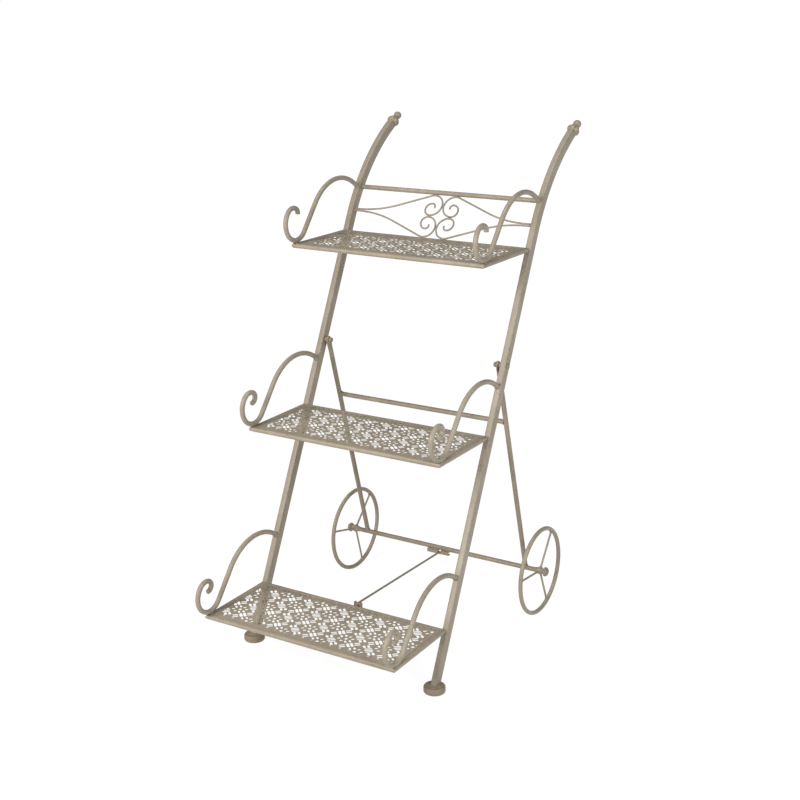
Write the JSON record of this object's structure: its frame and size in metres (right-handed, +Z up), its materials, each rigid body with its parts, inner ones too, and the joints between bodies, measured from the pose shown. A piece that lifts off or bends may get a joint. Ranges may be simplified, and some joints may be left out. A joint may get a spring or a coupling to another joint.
{
  "type": "folding flower cart stand",
  "caption": "Leaning metal plant stand with stacked punched shelves between scrolled arms, on feet and a hinged rear leg frame with open wheels and a hooked stay.",
  "frame": {"origin": "on the ground, at the middle of the stand's width and depth", "axes": "+Z up; the front, where the bottom shelf reaches out, faces -Y; +X is the right as seen from the front"},
  "size_m": [0.5116, 0.7734, 1.031],
  "materials": {
    "frame_paint": "satin",
    "shelf_paint": "satin",
    "wheel_paint": "satin",
    "hardware_paint": "satin"
  },
  "bodies": {
    "frame": {"upright_right": "frame_paint", "upright_left": "frame_paint", "feet": "frame_paint", "finials": "frame_paint", "shelf_rim_bottom": "shelf_paint", "shelf_panel_bottom": "shelf_paint", "arm_bottom_right": "frame_paint", "arm_bottom_left": "frame_paint", "shelf_rim_middle": "shelf_paint", "shelf_panel_middle": "shelf_paint", "arm_middle_right": "frame_paint", "arm_middle_left": "frame_paint", "shelf_rim_top": "shelf_paint", "shelf_panel_top": "shelf_paint", "arm_top_right": "frame_paint", "arm_top_left": "frame_paint", "top_bar": "frame_paint", "back_scrolls": "frame_paint", "hinge_bolts": "hardware_paint", "stay_bracket": "hardware_paint"},
    "leg_frame": {"leg_right": "frame_paint", "leg_left": "frame_paint", "crossbar": "frame_paint", "axle": "frame_paint", "axle_caps": "hardware_paint", "stay_channel": "hardware_paint"},
    "wheel_left": {"wheel_left_ring": "wheel_paint", "wheel_left_hub": "wheel_paint"},
    "wheel_right": {"wheel_right_ring": "wheel_paint", "wheel_right_hub": "wheel_paint"},
    "stay": {"stay_rod": "hardware_paint"}
  },
  "joints": [
    {"name": "leg_fold", "type": "hinge", "parent": "frame", "child": "leg_frame", "pos_m": [0, 0.06824, 0.583], "axis": [-1, 0, 0], "range_deg": [0, 39.5]},
    {"name": "wheel_left_spin", "type": "hinge", "parent": "leg_frame", "child": "wheel_left", "pos_m": [-0.236, 0.2071, 0.0965], "axis": [1, 0, 0], "continuous": true},
    {"name": "wheel_right_spin", "type": "hinge", "parent": "leg_frame", "child": "wheel_right", "pos_m": [0.236, 0.2071, 0.0965], "axis": [1, 0, 0], "continuous": true},
    {"name": "stay_swing", "type": "hinge", "parent": "leg_frame", "child": "stay", "pos_m": [-0.0055, 0.1971, 0.091], "axis": [-1, 0, 0], "range_deg": [0, 69]}
  ]
}
